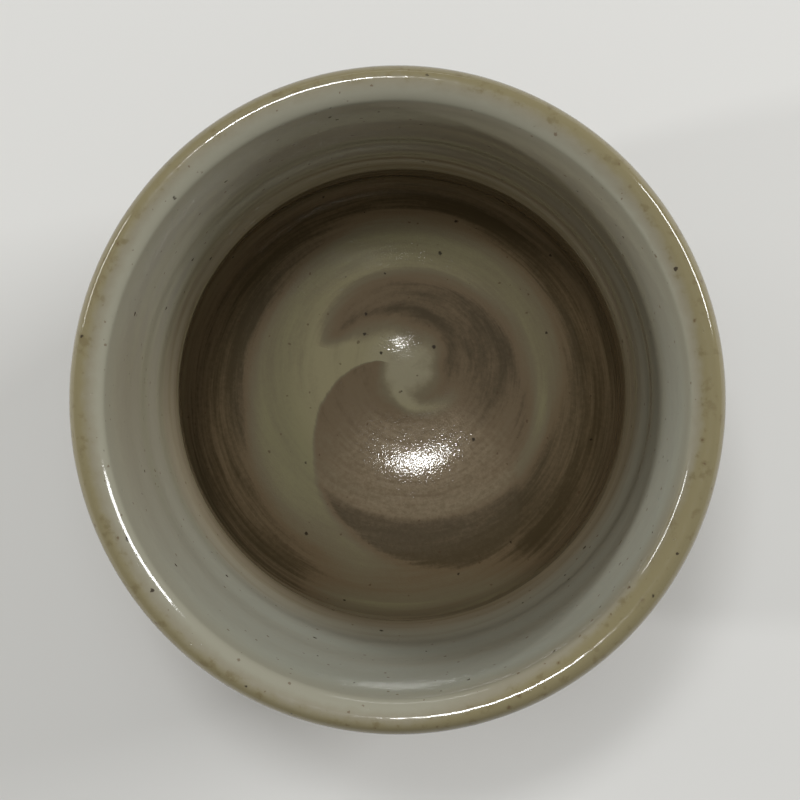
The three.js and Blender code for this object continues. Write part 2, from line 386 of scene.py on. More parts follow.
# %% Work a turned pot by hand
def read_places(pot):
    """Every vertex of a pot, in millimetres."""
    flat = np.empty(3 * len(pot.data.vertices))
    pot.data.vertices.foreach_get("co", flat)
    return flat.reshape(-1, 3) / MM


def write_places(pot, places):
    """Moves every vertex of a pot to a place in millimetres."""
    pot.data.vertices.foreach_set("co", (places * MM).ravel())
    pot.data.update()


def profile_steps(pot, profile):
    """For each vertex, the step of the profile that it was turned from."""
    finder = KDTree(len(profile))
    for step, (radius, height) in enumerate(profile):
        finder.insert((radius, 0, height), step)
    finder.balance()
    places = read_places(pot)
    across = np.hypot(places[:, 0], places[:, 1])
    found = [finder.find((radius, 0, height)) for radius, height in zip(across, places[:, 2])]
    return np.array([step for _, step, _ in found])


def raise_relief(pot, directions, relief):
    """Moves each vertex along its own direction of the profile by a relief in millimetres."""
    places = read_places(pot)
    turn = np.arctan2(places[:, 1], places[:, 0])
    outward = directions[:, 0]
    away = np.column_stack((outward * np.cos(turn), outward * np.sin(turn), directions[:, 1]))
    write_places(pot, places + away * relief[:, None])


def store_rise(pot, rise):
    """Keeps the way along the profile on the mesh, in millimetres, for the finish to read."""
    kept = pot.data.attributes.new("rise", "FLOAT", "POINT")
    kept.data.foreach_set("value", rise.astype(np.float32))


def seated(pot, node):
    """Gives a pot its place in the frame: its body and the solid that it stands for."""
    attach(pot, "root")
    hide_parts(node)
    low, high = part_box(node)
    places = read_places(pot)
    gaps = np.abs(np.array((places.min(0), places.max(0))) - np.array((low, high)) / MM)
    print(pot.name, "lies within", round(float(gaps.max()), 2), "mm of the box of", node)


# %% [markdown]
# ## The liner: glaze poured inside
#
# Glaze was poured into the cup, swirled and tipped out, so one coat covers the floor, the wall and the
# roll of the lip. It is modelled as a closed shell: a fine face that the eye sees and a coarse back over
# the slip. The face is finest at the lip, where the sharp lines of light run.

# %% Liner glaze
BOND_GAP = 0.1
SLIP_THICKNESS = 0.25
GLAZE_THICKNESS = 0.5
OVER_SLIP = BOND_GAP + SLIP_THICKNESS
FINE_STEPS = (72, 40, 64, 44)
COARSE_STEPS = (16, 6, 8, 8)


def liner_run(well, lower, upper, lip):
    """The clay under the liner, and how far the liner's back lies above it."""
    wall = inside_points(well, lower, upper)
    run = joined(wall, lip_points(lip))
    over_lip = np.clip(np.arange(len(run)) - len(wall) + 1, 0, lip) / (lip - 1)
    return run, BOND_GAP + OVER_SLIP * (1 - over_lip)


face_run, face_lift = liner_run(*FINE_STEPS)
back_run, back_lift = liner_run(*COARSE_STEPS)
liner_face = lifted(face_run, face_lift + GLAZE_THICKNESS)
liner_back = lifted(back_run, back_lift)
liner_profile = np.vstack((liner_face, liner_back[::-1]))
liner_away = np.vstack((normals_of(face_run), normals_of(back_run)[::-1]))
liner_rise = way_along(liner_face)

liner = turned("liner_glaze", liner_profile)
step = profile_steps(liner, liner_profile)
on_face = step < len(liner_face)
raise_relief(liner, liner_away[step], floor_relief(read_places(liner)) * on_face)
store_rise(liner, liner_rise[np.clip(step, 0, len(liner_face) - 1)])
write_places(liner, drifted(read_places(liner)))
seated(liner, "inner_glaze")
print("the face rises", round(liner_rise[-1], 1), "mm from the middle of the floor to the lip")

# %% [markdown]
# ## The jacket: glaze on the outside
#
# The outside was dipped while the potter held the foot, so the glaze stops at a slightly wavy line above
# it and gathers there in a soft roll. The shell is made as the liner is. Its lower edge is a half round,
# and the last few millimetres slide up and down the wall with the wave of the dip.

# %% Jacket glaze
ROLL_SWELL = 0.32
ROLL_REACH = 1.8
DIP_WAVE = 0.55
DIP_REACH = 5
JACKET_STEPS = (64, 36, 44)
ROLL_STEPS = 9
BACK_EVERY = 4


def jacket_shell():
    """The jacket's closed profile, the directions away from the clay, and the way down the face."""
    run = outside_points(*JACKET_STEPS)
    way = way_along(run)
    swell = ROLL_SWELL * np.exp(-(((way[-1] - way) / ROLL_REACH) ** 2))
    face = lifted(run, BOND_GAP + GLAZE_THICKNESS + swell)
    back = lifted(run[::BACK_EVERY], BOND_GAP)
    middle = (face[-1] + back[-1]) / 2
    half = (face[-1] - back[-1]) / 2
    onward = (run[-1] - run[-2]) / np.linalg.norm(run[-1] - run[-2])
    bends = np.linspace(0, math.pi, ROLL_STEPS)[1:-1]
    below = onward * np.linalg.norm(half)
    roll = np.array([middle + half * math.cos(bend) + below * math.sin(bend) for bend in bends])
    profile = np.vstack((face, roll, back[::-1], face[:1]))
    out = normals_of(run)
    away = np.vstack((out, np.zeros((len(roll), 2)), out[::BACK_EVERY][::-1], out[:1]))
    down = np.concatenate((way, np.full(len(roll), way[-1]), way[::BACK_EVERY][::-1], way[:1]))
    return profile, away, down, onward, len(face)


jacket_profile, jacket_away, jacket_way, dip_onward, jacket_count = jacket_shell()
jacket = turned("jacket_glaze", jacket_profile)
step = profile_steps(jacket, jacket_profile)
on_face = step < jacket_count
raise_relief(jacket, jacket_away[step], ring_relief(read_places(jacket)) * on_face)

places = read_places(jacket)
turn = np.arctan2(places[:, 1], places[:, 0])
wave = DIP_WAVE * (0.6 * np.sin(2 * turn + 0.8) + 0.4 * np.sin(5 * turn + 2.1) - 0.9)
near_edge = ease(jacket_way[step], jacket_way.max() - DIP_REACH, jacket_way.max())
raise_relief(jacket, np.broadcast_to(dip_onward, (len(places), 2)), wave * near_edge)
write_places(jacket, drifted(read_places(jacket)))
seated(jacket, "outer_glaze")

# %% [markdown]
# ## The clay: trimmed foot and bare rim of the foot ring
#
# The clay shows only under the glaze line, where the leather-hard pot was turned over and trimmed: a
# slanting shoulder, the foot ring with soft corners, and the hollow inside it with a small nub. The blade
# leaves fine grooves, so the underside has many steps. The hidden wall has only a few.

# %% Clay body
FOOT_RADIUS = 23
FOOT_SHOULDER = Vector((23.8, 6))
FOOT_CHAMFER = 0.7
RING_INSIDE = 18
RECESS_HEIGHT = 5
RECESS_FILLET = 1.6
NUB_RADIUS = 4.5
NUB_HEIGHT = 1.4
GROOVE_PITCH = 1.35
GROOVE_DEPTH = 0.07
CORNER_PULL = 2 / 3
HIDDEN_STEPS = (16, 9, 11)


def line_points(start, end, count):
    """Even places along a straight cut."""
    return np.linspace(start, end, count)


def corner_points(start, corner, end, count):
    """A corner that the sponge has rounded."""
    return curve_points(start, start.lerp(corner, CORNER_PULL), end.lerp(corner, CORNER_PULL), end, count)


def underside_points():
    """From the trimmed edge over the shoulder and the foot ring to the nub in the hollow."""
    foot_side = Vector((FOOT_RADIUS, FOOT_CHAMFER))
    foot_sole = Vector((FOOT_RADIUS - FOOT_CHAMFER, 0))
    ring_sole = Vector((RING_INSIDE + FOOT_CHAMFER, 0))
    ring_side = Vector((RING_INSIDE, FOOT_CHAMFER))
    hollow_side = Vector((RING_INSIDE, RECESS_HEIGHT - RECESS_FILLET))
    hollow_top = Vector((RING_INSIDE - RECESS_FILLET, RECESS_HEIGHT))
    shoulder = line_points(TRIM_EDGE, FOOT_SHOULDER, 38)
    outer = line_points(FOOT_SHOULDER, foot_side, 24)
    outer_corner = corner_points(foot_side, Vector((FOOT_RADIUS, 0)), foot_sole, 6)
    rest = line_points(foot_sole, ring_sole, 8)
    inner_corner = corner_points(ring_sole, Vector((RING_INSIDE, 0)), ring_side, 6)
    side = line_points(ring_side, hollow_side, 10)
    fillet = corner_points(hollow_side, Vector((RING_INSIDE, RECESS_HEIGHT)), hollow_top, 8)
    hollow = line_points(hollow_top, (NUB_RADIUS, RECESS_HEIGHT), 48)
    nub_low = RECESS_HEIGHT - NUB_HEIGHT
    nub = curve_points(
        Vector((NUB_RADIUS, RECESS_HEIGHT)),
        Vector((NUB_RADIUS / 2, RECESS_HEIGHT)),
        Vector((NUB_RADIUS / 3, nub_low)),
        Vector((0, nub_low)),
        14,
    )
    return joined(shoulder, outer, outer_corner, rest, inner_corner, side, fillet, hollow, nub)


clay_inside = joined(inside_points(*COARSE_STEPS[:3]), lip_points(COARSE_STEPS[3]))
clay_wall = joined(clay_inside, outside_points(*HIDDEN_STEPS))
clay_under = underside_points()
clay_profile = joined(clay_wall, clay_under)
clay = turned("bare_clay", clay_profile)
step = profile_steps(clay, clay_profile)
way = way_along(clay_profile)[step]
places = read_places(clay)
turn = np.arctan2(places[:, 1], places[:, 0])
trimmed = (step > len(clay_wall)) & (places[:, 2] > FOOT_CHAMFER)
grooves = GROOVE_DEPTH * (np.cos(math.tau * way / GROOVE_PITCH - turn) - 1) * trimmed
raise_relief(clay, normals_of(clay_profile)[step], grooves)
write_places(clay, drifted(read_places(clay)))
seated(clay, "clay_body")

# %% [markdown]
# ## Small helpers for finishes
#
# A finish is a graph of shader nodes. Adding a node, setting its values and linking its inputs are
# always the same three steps, so short helpers do them, and the graphs below read like the recipe
# of the glaze.


# %% Node helpers
def shader_node(tree, kind, inputs=None, **settings):
    """Adds a node. An input is a plain value, or an output of another node to link."""
    made = tree.nodes.new("ShaderNode" + kind)
    for name, value in settings.items():
        setattr(made, name, value)
    for socket, value in (inputs or {}).items():
        if isinstance(value, bpy.types.NodeSocket):
            tree.links.new(value, made.inputs[socket])
        else:
            made.inputs[socket].default_value = value
    return made


def sums(tree, operation, *values):
    """One step of arithmetic on values or outputs."""
    return shader_node(tree, "Math", dict(enumerate(values)), operation=operation).outputs[0]


def times(tree, first, second):
    """The product of two values or outputs."""
    return sums(tree, "MULTIPLY", first, second)


def scaled(tree, value, by, plus):
    """A value times one amount, plus another."""
    return sums(tree, "MULTIPLY_ADD", value, by, plus)


def eased(tree, value, low, high):
    """Smoothly from 0 to 1 as the value goes from low to high, or back down if low is above high."""
    inputs = {"Value": value, "From Min": low, "From Max": high}
    return shader_node(tree, "MapRange", inputs, interpolation_type="SMOOTHSTEP").outputs[0]


def charted(tree, value, stations, span, height):
    """Reads a curve drawn through stations, each a value with the height there."""
    drawn = shader_node(tree, "FloatCurve", {"Value": sums(tree, "DIVIDE", value, span)})
    points = drawn.mapping.curves[0].points
    for index, (along, level) in enumerate(stations):
        spot = (along / span, level / height)
        if 0 < index < len(stations) - 1:
            points.new(*spot)
        else:
            points[0 if index == 0 else len(points) - 1].location = spot
    for point in points:
        point.handle_type = "AUTO_CLAMPED"
    drawn.mapping.update()
    return times(tree, drawn.outputs[0], height)


def noise(tree, place, scale, detail, roughness=0.5):
    """Cloudy noise from 0 to 1."""
    inputs = {"Vector": place, "Scale": scale, "Detail": detail, "Roughness": roughness}
    return shader_node(tree, "TexNoise", inputs).outputs[0]


def length_of(tree, x, y):
    """The length of a flat vector."""
    return sums(tree, "SQRT", sums(tree, "ADD", times(tree, x, x), times(tree, y, y)))


def blended(tree, factor, first, second):
    """Mixes two colours by a factor."""
    return shader_node(tree, "Mix", {0: factor, 6: first, 7: second}, data_type="RGBA").outputs[2]


def blended_value(tree, factor, first, second):
    """Mixes two numbers by a factor."""
    return shader_node(tree, "Mix", {0: factor, 2: first, 3: second}, data_type="FLOAT").outputs[0]


def seen(red, green, blue):
    """A colour as it looks on screen, from 0 to 255, in the linear values that a shader needs."""
    screen = np.array((red, green, blue)) / 255
    linear = np.where(screen > 0.04045, ((screen + 0.055) / 1.055) ** 2.4, screen / 12.92)
    return (*linear.tolist(), 1)


# %% [markdown]
# ## Shared effects: iron specks, brush streaks and the skin of the glaze
#
# Iron grains in the clay melt into dark specks, a brush or a blade leaves streaks that run round the pot,
# and a fired glaze has a skin of soft ripples and pinholes. More than one finish needs each of these, so
# each is a node group: Voronoi cells for the specks, noise stretched round the axis for the streaks, and
# two sizes of noise for the skin.


# %% Start a node group
def new_group(name, inputs, outputs):
    """An empty shader group with named float or vector inputs and float outputs."""
    group = bpy.data.node_groups.new(name, "ShaderNodeTree")
    for label, kind, value in inputs:
        socket = group.interface.new_socket(label, in_out="INPUT", socket_type="NodeSocket" + kind)
        if kind == "Float":
            socket.default_value = value
    for label in outputs:
        group.interface.new_socket(label, in_out="OUTPUT", socket_type="NodeSocketFloat")
    return group, group.nodes.new("NodeGroupInput").outputs, group.nodes.new("NodeGroupOutput").inputs


def use_group(tree, group, inputs):
    """Places a group in a finish with its own values and returns its first output."""
    return shader_node(tree, "Group", inputs, node_tree=group).outputs[0]


# %% Iron specks
specks, given, result = new_group(
    "iron_specks",
    [("Place", "Vector", None), ("Spacing", "Float", 4), ("Size", "Float", 0.3), ("Share", "Float", 0.5)],
    ["Mask"],
)
stray = shader_node(specks, "TexNoise", {"Vector": given["Place"], "Scale": 2.5, "Detail": 1})
astray = shader_node(specks, "VectorMath", {0: stray.outputs["Color"], 3: 0.4}, operation="SCALE")
ragged_place = shader_node(specks, "VectorMath", {0: given["Place"], 1: astray.outputs[0]}, operation="ADD")
fineness = sums(specks, "DIVIDE", 1, given["Spacing"])
cells = shader_node(specks, "TexVoronoi", {"Vector": ragged_place.outputs[0], "Scale": fineness})
chance = shader_node(specks, "SeparateColor", {0: cells.outputs["Color"]})
distance = times(specks, cells.outputs["Distance"], given["Spacing"])
size_share = scaled(specks, chance.outputs[1], 0.8, 0.3)
radius = times(specks, given["Size"], size_share)
spot = eased(specks, distance, radius, times(specks, radius, 0.55))
chosen = sums(specks, "LESS_THAN", chance.outputs[0], given["Share"])
specks.links.new(times(specks, spot, chosen), result["Mask"])
print(specks.name, "made with", len(specks.nodes), "nodes")

# %% Brush streaks
streaks, given, result = new_group(
    "brush_streaks",
    [("Turn", "Float", 0), ("Travel", "Float", 0), ("Around", "Float", 1.5), ("Across", "Float", 1)],
    ["Height"],
)
east = times(streaks, sums(streaks, "COSINE", given["Turn"]), given["Around"])
north = times(streaks, sums(streaks, "SINE", given["Turn"]), given["Around"])
across = times(streaks, given["Travel"], given["Across"])
lane = shader_node(streaks, "CombineXYZ", {0: east, 1: north, 2: across})
streaks.links.new(noise(streaks, lane.outputs[0], 1, 3, 0.6), result["Height"])
print(streaks.name, "made with", len(streaks.nodes), "nodes")

# %% Skin of the glaze
skin, given, result = new_group(
    "glaze_skin",
    [("Place", "Vector", None), ("Ripple", "Float", 1), ("Grain", "Float", 0.3), ("Pits", "Float", 1)],
    ["Height"],
)
pinholes = use_group(skin, specks, {"Place": given["Place"], "Spacing": 1.1, "Size": 0.16, "Share": 0.3})
soft = times(skin, noise(skin, given["Place"], 0.45, 1), given["Ripple"])
fine = times(skin, noise(skin, given["Place"], 3.4, 1), given["Grain"])
holes = times(skin, pinholes, given["Pits"])
skin.links.new(sums(skin, "SUBTRACT", sums(skin, "ADD", soft, fine), holes), result["Height"])
print(skin.name, "made with", len(skin.nodes), "nodes")

# %% [markdown]
# ## The liner's finish
#
# The glaze itself is clear and a little green. What it shows is the slip under it: thick and pale on the
# upper wall, wiped thin on the lower wall, and swept into a comma on the floor. The pattern is drawn in the
# potter's own measures: the turn about the eye of the swirl, and the way out from the eye and up the wall.
# The eye lies off the axis, and its shift fades out before the wall begins.


# %% Start and close a finish
GLAZE_IOR = 1.5
BUMP_HEIGHT = 0.04 * MM


def new_finish(name, slot_owner):
    """A material on a piece, with its node tree, its shader and its place in millimetres."""
    finish = bpy.data.materials.new(name)
    finish.use_nodes = True
    slot_owner.data.materials.clear()
    slot_owner.data.materials.append(finish)
    tree = finish.node_tree
    own = shader_node(tree, "TexCoord").outputs["Object"]
    place = shader_node(tree, "VectorMath", {0: own, 3: 1 / MM}, operation="SCALE").outputs[0]
    return tree, tree.nodes["Principled BSDF"], place


def dress(tree, shader, body, roughness, relief):
    """Gives a shader its colour, its roughness and the bumps of its skin."""
    bump = shader_node(tree, "Bump", {"Strength": 1, "Distance": BUMP_HEIGHT, "Height": relief})
    tree.links.new(body, shader.inputs["Base Color"])
    tree.links.new(roughness, shader.inputs["Roughness"])
    tree.links.new(bump.outputs[0], shader.inputs["Normal"])
    print("finish has", len(tree.nodes), "nodes")


# %% Where on the swirl
EYE_STEADY = 15
EYE_GONE = 31

tree, glaze, place = new_finish("liner_glaze_over_slip", liner)
rise = shader_node(tree, "Attribute", attribute_name="rise").outputs["Fac"]
flat = shader_node(tree, "SeparateXYZ", {0: place})
shift = eased(tree, rise, EYE_GONE, EYE_STEADY)
from_eye_x, from_eye_y = (
    sums(tree, "SUBTRACT", flat.outputs[axis], times(tree, shift, float(SWIRL_EYE[axis])))
    for axis in (0, 1)
)
turn = sums(tree, "ARCTAN2", from_eye_y, from_eye_x)
beyond = sums(tree, "SUBTRACT", rise, length_of(tree, flat.outputs[0], flat.outputs[1]))
way_out = sums(tree, "ADD", length_of(tree, from_eye_x, from_eye_y), beyond)
print("swirl measured from its eye at", SWIRL_EYE.tolist(), "mm")

# %% [markdown]
# ### Streaks of the brush
#
# A stiff straw brush leaves hairs of slip and gaps between them. Broad lanes change the amount of slip,
# and finer ones draw the hairs. The way out is bent a little by slow noise first, so that no streak is a
# perfect circle. On the floor the glaze lies thick and hides the hairs. How far the streaks tell is drawn
# along the way: most on the lower wall, where the brush ran dry, and less on the thick upper wall.

# %% Streaks inside
TOP_RISE = 102
BROAD_BY_WAY = [(0, 0.22), (16, 0.26), (22, 0.3), (34, 0.38), (55, 0.42), (60, 0.3), (66, 0.26), (92, 0.2),
                (102, 0.15)]
FINE_BY_WAY = [(0, 0.1), (16, 0.15), (22, 0.17), (32, 0.26), (56, 0.4), (62, 0.28), (67, 0.12), (80, 0.07),
               (102, 0.05)]

wander = use_group(tree, streaks, {"Turn": turn, "Travel": way_out, "Around": 0.9, "Across": 0.12})
bent = sums(tree, "ADD", way_out, scaled(tree, wander, 1.8, -0.9))
lane = use_group(tree, streaks, {"Turn": turn, "Travel": bent, "Around": 0.9, "Across": 0.33})
hair = use_group(tree, streaks, {"Turn": turn, "Travel": bent, "Around": 1.6, "Across": 1.5})
thread = use_group(tree, streaks, {"Turn": turn, "Travel": bent, "Around": 3.5, "Across": 5})
fine = sums(tree, "ADD", times(tree, hair, 1.2), scaled(tree, thread, 0.5, -0.85))
fine = times(tree, fine, charted(tree, way_out, FINE_BY_WAY, TOP_RISE, 1))
broad = scaled(tree, lane, 1.6, -0.8)
streaked = scaled(tree, broad, charted(tree, way_out, BROAD_BY_WAY, TOP_RISE, 1), fine)

# %% [markdown]
# ### The comma on the floor
#
# The last stroke lifted the slip off in a comma: it starts at a point beside the eye, sweeps once round,
# wide below and to the right, and ends in a thin tail over its own start. Its outer edge is sharp where
# the brush first bit and soft where it ran dry. The pale tongue left inside it hooks round the eye and
# fades out in a tail below it. Curves drawn over one turn give the edges and how soft they are, a dark
# line over the eye, and a tan lane left below.

# %% Comma of bare clay
COMMA_START = math.radians(167)
COMMA_OUTER = [
    (0, 4.7), (0.042, 9), (0.101, 14.8), (0.146, 19.1), (0.188, 22.9), (0.242, 25.4), (0.316, 27.3),
    (0.37, 28.8), (0.4, 27.5), (0.43, 21.8), (0.46, 20.8), (0.494, 20), (0.536, 18.9), (0.62, 17.5),
    (0.703, 16.2), (0.786, 15.6), (0.869, 15.2), (0.953, 14.7), (1, 14.3)]
COMMA_INNER = [
    (0, 3.6), (0.036, 3.6), (0.12, 4.6), (0.2, 5.4), (0.28, 5.4), (0.34, 4.9), (0.4, 4.6), (0.47, 4.4),
    (0.54, 3.9), (0.62, 5), (0.703, 5.9), (0.786, 6.4), (0.831, 7.4), (0.869, 8.3), (0.91, 9.2),
    (0.953, 10.2), (1, 13.2)]
COMMA_SOFT = [(0, 0.6), (0.2, 0.7), (0.38, 1.1), (0.44, 1.6), (0.6, 3), (0.78, 2.6), (0.906, 2), (1, 1.4)]
COMMA_FADE = [
    (0, 0.9), (0.08, 1.6), (0.15, 2.8), (0.27, 4), (0.35, 3.8), (0.41, 2.8), (0.54, 2), (0.667, 2.6),
    (0.76, 4.4), (0.87, 4.6), (0.95, 3.4), (1, 1.6)]
DARK_ARC_WAY = [
    (0, 6.5), (0.5, 6.8), (0.594, 7.4), (0.667, 8), (0.746, 8.6), (0.831, 9.5), (0.894, 10.4),
    (0.95, 11.9), (1, 13.9)]
DARK_ARC_DEPTH = [(0, 0), (0.5, 0), (0.62, 0.05), (0.75, 0.065), (0.95, 0.08), (1, 0)]
BARE_SLIP = [
    (0, 0.18), (0.12, 0.22), (0.2, 0.24), (0.37, 0.24), (0.453, 0.18), (0.536, 0.125), (0.62, 0.11),
    (0.703, 0.115), (0.786, 0.135), (0.869, 0.155), (0.94, 0.24), (1, 0.5)]
WARMTH = [(0, 0), (0.08, 0), (0.2, 0.6), (0.286, 1), (0.37, 0.95), (0.453, 0.1), (0.52, 0), (1, 0)]
TAN_LANE = [(0, 20), (0.2, 20.4), (0.286, 21.6), (0.369, 22), (0.453, 22), (0.536, 21), (1, 20)]
TAN_DEPTH = [(0, 0), (0.12, 0), (0.2, 0.06), (0.3, 0.1), (0.45, 0.24), (0.5, 0.2), (0.56, 0), (1, 0)]
TAIL_WAY = [(0, 4), (0.2, 4.2), (0.286, 5.8), (0.369, 6.9), (0.453, 7.8), (1, 8.2)]
TAIL_DEPTH = [(0, 0), (0.14, 0), (0.2, 0.3), (0.286, 0.5), (0.369, 0.44), (0.453, 0.14), (0.52, 0), (1, 0)]
FARTHEST = 40
DARK_ARC_WIDTH = 0.8
LANE_WIDTH = 1.3
INNER_FADE = 2


def near(tree, value, centre, width):
    """A soft line: 1 where the value is at the centre, fading out over the width on both sides."""
    off = sums(tree, "DIVIDE", sums(tree, "SUBTRACT", value, centre), width)
    return sums(tree, "EXPONENT", times(tree, times(tree, off, off), -1))


def round_eye(tree, sweep, stations, height=FARTHEST):
    """Reads a curve that is drawn over one turn round the eye."""
    return charted(tree, sweep, stations, 1, height)


def stroke(tree, sweep, way, stations, depths, width):
    """A soft line round the eye, with its way out and its depth over one turn."""
    line = near(tree, way, round_eye(tree, sweep, stations), width)
    return times(tree, line, round_eye(tree, sweep, depths, 1))


from_start = sums(tree, "SUBTRACT", turn, COMMA_START)
sweep = sums(tree, "FRACT", times(tree, from_start, 1 / math.tau))
outer_edge = round_eye(tree, sweep, COMMA_OUTER)
inner_edge = round_eye(tree, sweep, COMMA_INNER)
softness = round_eye(tree, sweep, COMMA_SOFT)
fade = round_eye(tree, sweep, COMMA_FADE)
ragged = sums(tree, "ADD", way_out, scaled(tree, hair, 0.6, -0.3))
outer_low = sums(tree, "ADD", outer_edge, softness)
outer_high = sums(tree, "SUBTRACT", outer_edge, softness)
inner_low = sums(tree, "SUBTRACT", inner_edge, fade)
inner_high = sums(tree, "ADD", inner_edge, INNER_FADE)
within = eased(tree, ragged, outer_low, outer_high)
comma = times(tree, within, eased(tree, ragged, inner_low, inner_high))
# A dark line drawn along an arc over the eye takes slip off there.
dark_arc = stroke(tree, sweep, ragged, DARK_ARC_WAY, DARK_ARC_DEPTH, DARK_ARC_WIDTH)
tan_lane = stroke(tree, sweep, ragged, TAN_LANE, TAN_DEPTH, LANE_WIDTH)
tail = stroke(tree, sweep, ragged, TAIL_WAY, TAIL_DEPTH, LANE_WIDTH)
print("comma drawn from", len(COMMA_OUTER) + len(COMMA_INNER), "stations")

# %% [markdown]
# ### How much slip lies where
#
# From the eye outwards the slip is thick, gives out towards the steep lower wall, and is thick again
# above the ridge of the waist. The pale floor reaches farther on one side than on the other. At the bottom
# more slip was left on the lower wall, and at the top the ridge was wiped thinner. The comma takes slip
# off, the streaks break it up, and over the ridge a few hairs of the brush left lines side by side.

# %% Amount of slip
SLIP_BY_WAY = [
    (0, 0.9), (8, 0.86), (14, 0.82), (19, 0.76), (22, 0.68), (23.8, 0.54), (25, 0.34), (26.5, 0.16),
    (29, 0.11), (33, 0.11), (36, 0.17), (41, 0.27), (47, 0.4), (53, 0.52), (58, 0.66), (66, 0.84),
    (90, 0.86), (102, 0.86)]
PALE_END = 25
PALE_REACH = [
    (0, 23.2), (0.036, 23.6), (0.119, 26.2), (0.203, 27.2), (0.286, 26.6), (0.33, 24.6), (0.369, 22.4),
    (0.453, 22.4), (0.5, 23.4), (0.536, 24.3), (0.619, 26.2), (0.703, 27.4), (0.786, 27.8), (0.869, 25),
    (0.953, 23), (1, 23.2)]
THICK_SIDE = math.radians(205)
KEPT_SIDE = math.radians(277)
RIDGE_RISE = 63
RIDGE_REACH = 6
RIDGE_LINE = 3.1
RIDGE_MARK = 0.1
KEPT_SPAN = (0.78, 0.97)
KEPT_BAND = (34, 7)
KEPT_MORE = 0.42
WIPED_SIDE = math.radians(85)
WIPED_SPAN = (0.55, 0.95)
WIPED_BAND = (59, 5)
WIPED_LESS = -0.2
CLOUD_SHARE = 0.17


def facing(tree, turn, bearing):
    """The cosine of the turn from a bearing: 1 on that side of the pot and -1 on the other."""
    return sums(tree, "COSINE", sums(tree, "SUBTRACT", turn, bearing))


farther = sums(tree, "SUBTRACT", round_eye(tree, sweep, PALE_REACH), PALE_END)
laid_way = sums(tree, "SUBTRACT", bent, times(tree, farther, eased(tree, way_out, 46, 34)))
laid = charted(tree, laid_way, SLIP_BY_WAY, TOP_RISE, 1)
kept_side = eased(tree, facing(tree, turn, KEPT_SIDE), *KEPT_SPAN)
kept_low = times(tree, kept_side, near(tree, way_out, *KEPT_BAND))
laid = scaled(tree, kept_low, KEPT_MORE, laid)
wiped_side = eased(tree, facing(tree, turn, WIPED_SIDE), *WIPED_SPAN)
wiped = times(tree, wiped_side, near(tree, rise, *WIPED_BAND))
laid = scaled(tree, wiped, WIPED_LESS, laid)
thick_side = scaled(tree, facing(tree, turn, THICK_SIDE), 0.07, 0.93)
laid = times(tree, laid, blended_value(tree, eased(tree, rise, 40, 28), 1, thick_side))
scraped = scaled(tree, eased(tree, ragged, 21.7, 23.3), -0.8, 1)
bare_slip = times(tree, round_eye(tree, sweep, BARE_SLIP, 1), scraped)
left = blended_value(tree, comma, laid, bare_slip)
bent_rise = scaled(tree, hair, 2.4, rise)
scored = sums(tree, "SINE", times(tree, bent_rise, math.tau / RIDGE_LINE))
ridge = times(tree, scored, near(tree, rise, RIDGE_RISE, RIDGE_REACH))
marks = sums(tree, "SUBTRACT", sums(tree, "ADD", tail, tan_lane), dark_arc)
marked = sums(tree, "ADD", marks, times(tree, ridge, RIDGE_MARK))
cloud = noise(tree, place, 1.4, 4, 0.7)
clouded = times(tree, sums(tree, "SUBTRACT", cloud, 0.5), eased(tree, rise, 50, 26))
left = scaled(tree, clouded, CLOUD_SHARE, left)
uneven = sums(tree, "ADD", left, sums(tree, "ADD", streaked, marked))
slip = shader_node(tree, "Clamp", {0: uneven}).outputs[0]
print("slip drawn from", len(SLIP_BY_WAY), "stations up the wall")

# %% [markdown]
# ### Colour of the glaze over slip and over clay
#
# Over bare clay the glaze is brown, warmest and grainy below the eye. Over slip it is a pale grey-green:
# yellower where it pools on the floor, whitest at the eye, pinkish over the ridge and coolest on one side
# of the wall. On the shaded side of the wall a paler tone is painted in, standing in for the fill light
# there.

# %% Colours inside
DEEP_BROWN = seen(78, 66, 46)
CLAY_BROWN = seen(117, 100, 76)
WARM_DARK = seen(128, 110, 85)
WARM_LIGHT = seen(164, 147, 120)
THIN_SLIP = seen(123, 112, 88)
POOLED_SLIP = seen(156, 147, 113)
OUTER_SLIP = seen(139, 133, 99)
EYE_SLIP = seen(159, 151, 124)
RIDGE_SLIP = seen(143, 132, 111)
WALL_SLIP = seen(139, 135, 119)
COOL_SLIP = seen(143, 145, 134)
COOL_SIDE = math.radians(295)
# A paler tone painted on the shaded side of the wall, standing in for fill light there.
PAINTED_FILL_TONE = seen(149, 147, 135)
PAINTED_FILL_SIDE = math.radians(122)
BARE_SPAN = (0, 0.24)
THIN_SPAN = (0.2, 0.52)
THICK_SPAN = (0.46, 0.86)

full = blended(tree, eased(tree, way_out, 9, 2), POOLED_SLIP, EYE_SLIP)
full = blended(tree, eased(tree, way_out, 13, 22), full, OUTER_SLIP)
full = blended(tree, eased(tree, rise, 34, 58), full, RIDGE_SLIP)
wall_slip_and_painted_fill = blended(tree, eased(tree, facing(tree, turn, COOL_SIDE), -0.5, 0.8), WALL_SLIP, COOL_SLIP)
